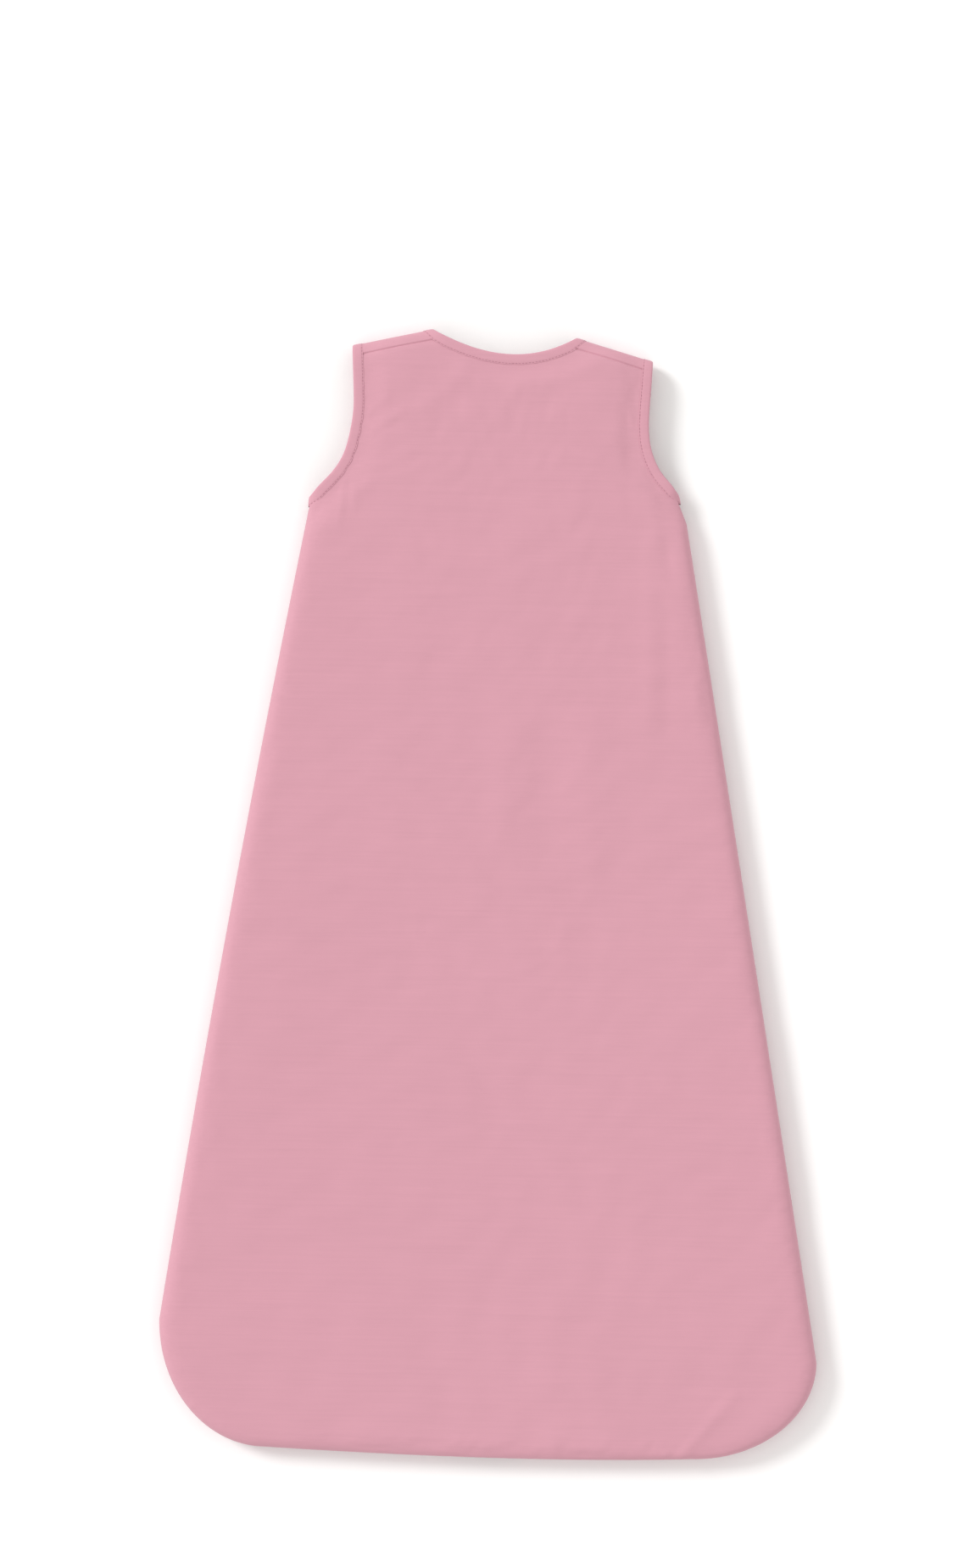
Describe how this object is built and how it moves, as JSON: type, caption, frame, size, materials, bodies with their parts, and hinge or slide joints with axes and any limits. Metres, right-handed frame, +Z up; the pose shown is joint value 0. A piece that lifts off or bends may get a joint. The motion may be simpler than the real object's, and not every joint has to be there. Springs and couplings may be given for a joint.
{
  "type": "baby sleeping bag",
  "caption": "Sleeveless padded sleeping bag for a baby, laid flat on its front, with bound neck and armholes and a two-way front zip.",
  "frame": {"origin": "on the floor under the middle of the bag's bounding box, as it lies on its front", "axes": "+X to the right of the back as seen from above, +Y from the hem to the neck, +Z up through the back panel"},
  "size_m": [0.5252, 0.8992, 0.026],
  "materials": {
    "outer_cotton": "matte",
    "binding_cotton": "matte",
    "wadding": "matte",
    "lining_cotton": "matte",
    "zip_tape": "matte",
    "zip_coil": "satin",
    "nickel": "satin",
    "label_ribbon": "satin"
  },
  "bodies": {
    "bag": {"back_outer": "outer_cotton", "front_left_outer": "outer_cotton", "front_right_outer": "outer_cotton", "chin_tab_base": "outer_cotton", "neck_binding": "binding_cotton", "armhole_binding_left": "binding_cotton", "armhole_binding_right": "binding_cotton", "back_wadding": "wadding", "front_left_wadding": "wadding", "front_right_wadding": "wadding", "back_lining": "lining_cotton", "front_left_lining": "lining_cotton", "front_right_lining": "lining_cotton", "zip_guard": "lining_cotton", "zip_tape_left": "zip_tape", "zip_tape_right": "zip_tape", "zip_coil_left": "zip_coil", "zip_coil_right": "zip_coil", "zip_top_stop_left": "nickel", "zip_top_stop_right": "nickel", "zip_bottom_stop_left": "nickel", "zip_bottom_stop_right": "nickel", "snap_stud": "nickel", "snap_back": "nickel", "size_label": "label_ribbon", "care_label": "label_ribbon"},
    "upper_slider": {"upper_slider_body": "nickel", "upper_slider_bridge": "nickel"},
    "upper_pull": {"upper_pull_tab": "nickel"},
    "lower_slider": {"lower_slider_body": "nickel", "lower_slider_bridge": "nickel"},
    "lower_pull": {"lower_pull_tab": "nickel"},
    "chin_flap": {"chin_tab": "outer_cotton", "snap_cap": "nickel", "snap_socket": "nickel"}
  },
  "joints": [
    {"name": "upper_slider_travel", "type": "slide", "parent": "bag", "child": "upper_slider", "axis": [0, -1, 0], "range_m": [0, 0.375]},
    {"name": "upper_pull_swing", "type": "hinge", "parent": "upper_slider", "child": "upper_pull", "pos_m": [0.0006, 0.35089, 0.0031], "axis": [1, 0, 0], "range_deg": [0, 100]},
    {"name": "lower_slider_travel", "type": "slide", "parent": "bag", "child": "lower_slider", "axis": [0, 1, 0], "range_m": [0, 0.28]},
    {"name": "lower_pull_swing", "type": "hinge", "parent": "lower_slider", "child": "lower_pull", "pos_m": [0.0006, -0.39211, 0.0031], "axis": [-1, 0, 0], "range_deg": [0, 170]},
    {"name": "chin_tab_fold", "type": "hinge", "parent": "bag", "child": "chin_flap", "pos_m": [-0.0164, 0.36939, 0.003], "axis": [0, 1, 0], "range_deg": [0, 150]}
  ]
}
